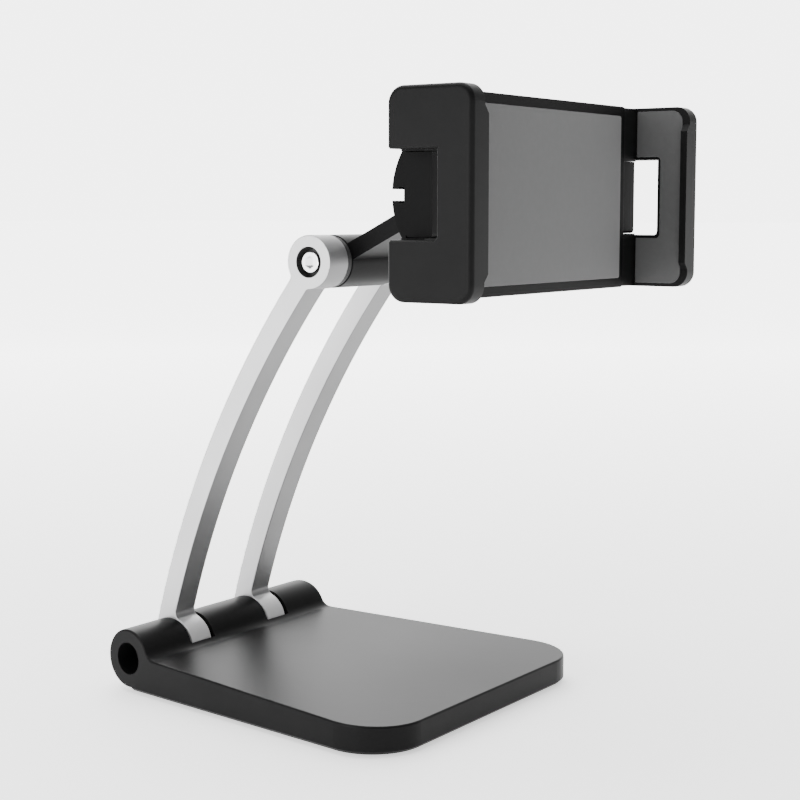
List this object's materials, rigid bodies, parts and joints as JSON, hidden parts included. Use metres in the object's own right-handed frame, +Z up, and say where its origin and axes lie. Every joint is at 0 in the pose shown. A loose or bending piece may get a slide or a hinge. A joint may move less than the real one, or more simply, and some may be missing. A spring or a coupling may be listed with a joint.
{
  "type": "phone stand",
  "caption": "Desktop phone stand: weighted plate with a hinge barrel, twin curved arms, tilting neck and a swivelling clamp with spring-loaded jaws.",
  "frame": {"origin": "on the table, under the centre of the whole stand's box", "axes": "+Z up, -Y towards the user, X along both hinge pins"},
  "size_m": [0.1556, 0.181, 0.2204],
  "materials": {
    "base_plastic": "moulded, satin top, glossy barrel",
    "cover_plastic": "fine moulded grain",
    "ballast_steel": "phosphated steel",
    "zinc_steel": "zinc plated",
    "foot_rubber": "matt",
    "nylon": "smooth",
    "arm_aluminium": "fine bead blasted, anodised",
    "screw_chrome": "polished",
    "neck_plastic": "satin",
    "ring_rubber": "matt",
    "head_plastic": "fine moulded grain",
    "pad_silicone": "matt silicone",
    "spring_steel": "bright wire",
    "jaw_plastic": "fine moulded grain",
    "jaw_rubber": "matt silicone"
  },
  "bodies": {
    "base": {"base_shell": "base_plastic", "base_weight": "ballast_steel", "base_cover": "cover_plastic", "base_screws": "zinc_steel", "foot_front_left": "foot_rubber", "foot_front_right": "foot_rubber", "foot_rear_left": "foot_rubber", "foot_rear_right": "foot_rubber", "hinge_bolt": "zinc_steel", "hinge_nut": "zinc_steel", "hinge_washers": "zinc_steel", "friction_discs": "nylon"},
    "arms": {"arm_left": "arm_aluminium", "arm_right": "arm_aluminium", "knuckle_bush_left": "nylon", "knuckle_bush_right": "nylon", "pivot_screw": "screw_chrome", "pivot_nut": "screw_chrome"},
    "neck": {"neck_link": "neck_plastic", "neck_bush": "nylon", "friction_ring_left": "ring_rubber", "friction_ring_right": "ring_rubber", "swivel_washer": "nylon", "swivel_stud": "zinc_steel", "swivel_spring_washer": "zinc_steel", "swivel_nut": "zinc_steel"},
    "head": {"head_back": "head_plastic", "head_frame": "head_plastic", "head_pad": "pad_silicone", "panel_screws": "zinc_steel", "jaw_spring_left": "spring_steel", "jaw_spring_right": "spring_steel", "spring_pins": "zinc_steel"},
    "jaw_left": {"jaw_left": "jaw_plastic", "jaw_pad_left": "jaw_rubber"},
    "jaw_right": {"jaw_right": "jaw_plastic", "jaw_pad_right": "jaw_rubber"}
  },
  "joints": [
    {"name": "base_hinge", "type": "hinge", "parent": "base", "child": "arms", "pos_m": [0, 0.07935, 0.0132], "axis": [1, 0, 0], "range_deg": [-40, 15]},
    {"name": "neck_hinge", "type": "hinge", "parent": "arms", "child": "neck", "pos_m": [0, 0.01055, 0.1639], "axis": [1, 0, 0], "range_deg": [-80, 20]},
    {"name": "head_swivel", "type": "hinge", "parent": "neck", "child": "head", "pos_m": [0, -0.0475, 0.18715], "axis": [0, 1, 0], "continuous": true},
    {"name": "jaw_left_slide", "type": "slide", "parent": "head", "child": "jaw_left", "axis": [-1, 0, 0], "range_m": [0, 0.035], "stiffness_N_per_m": 90, "springref_m": -0.05},
    {"name": "jaw_right_slide", "type": "slide", "parent": "head", "child": "jaw_right", "axis": [1, 0, 0], "range_m": [0, 0.035], "stiffness_N_per_m": 90, "springref_m": -0.05}
  ]
}
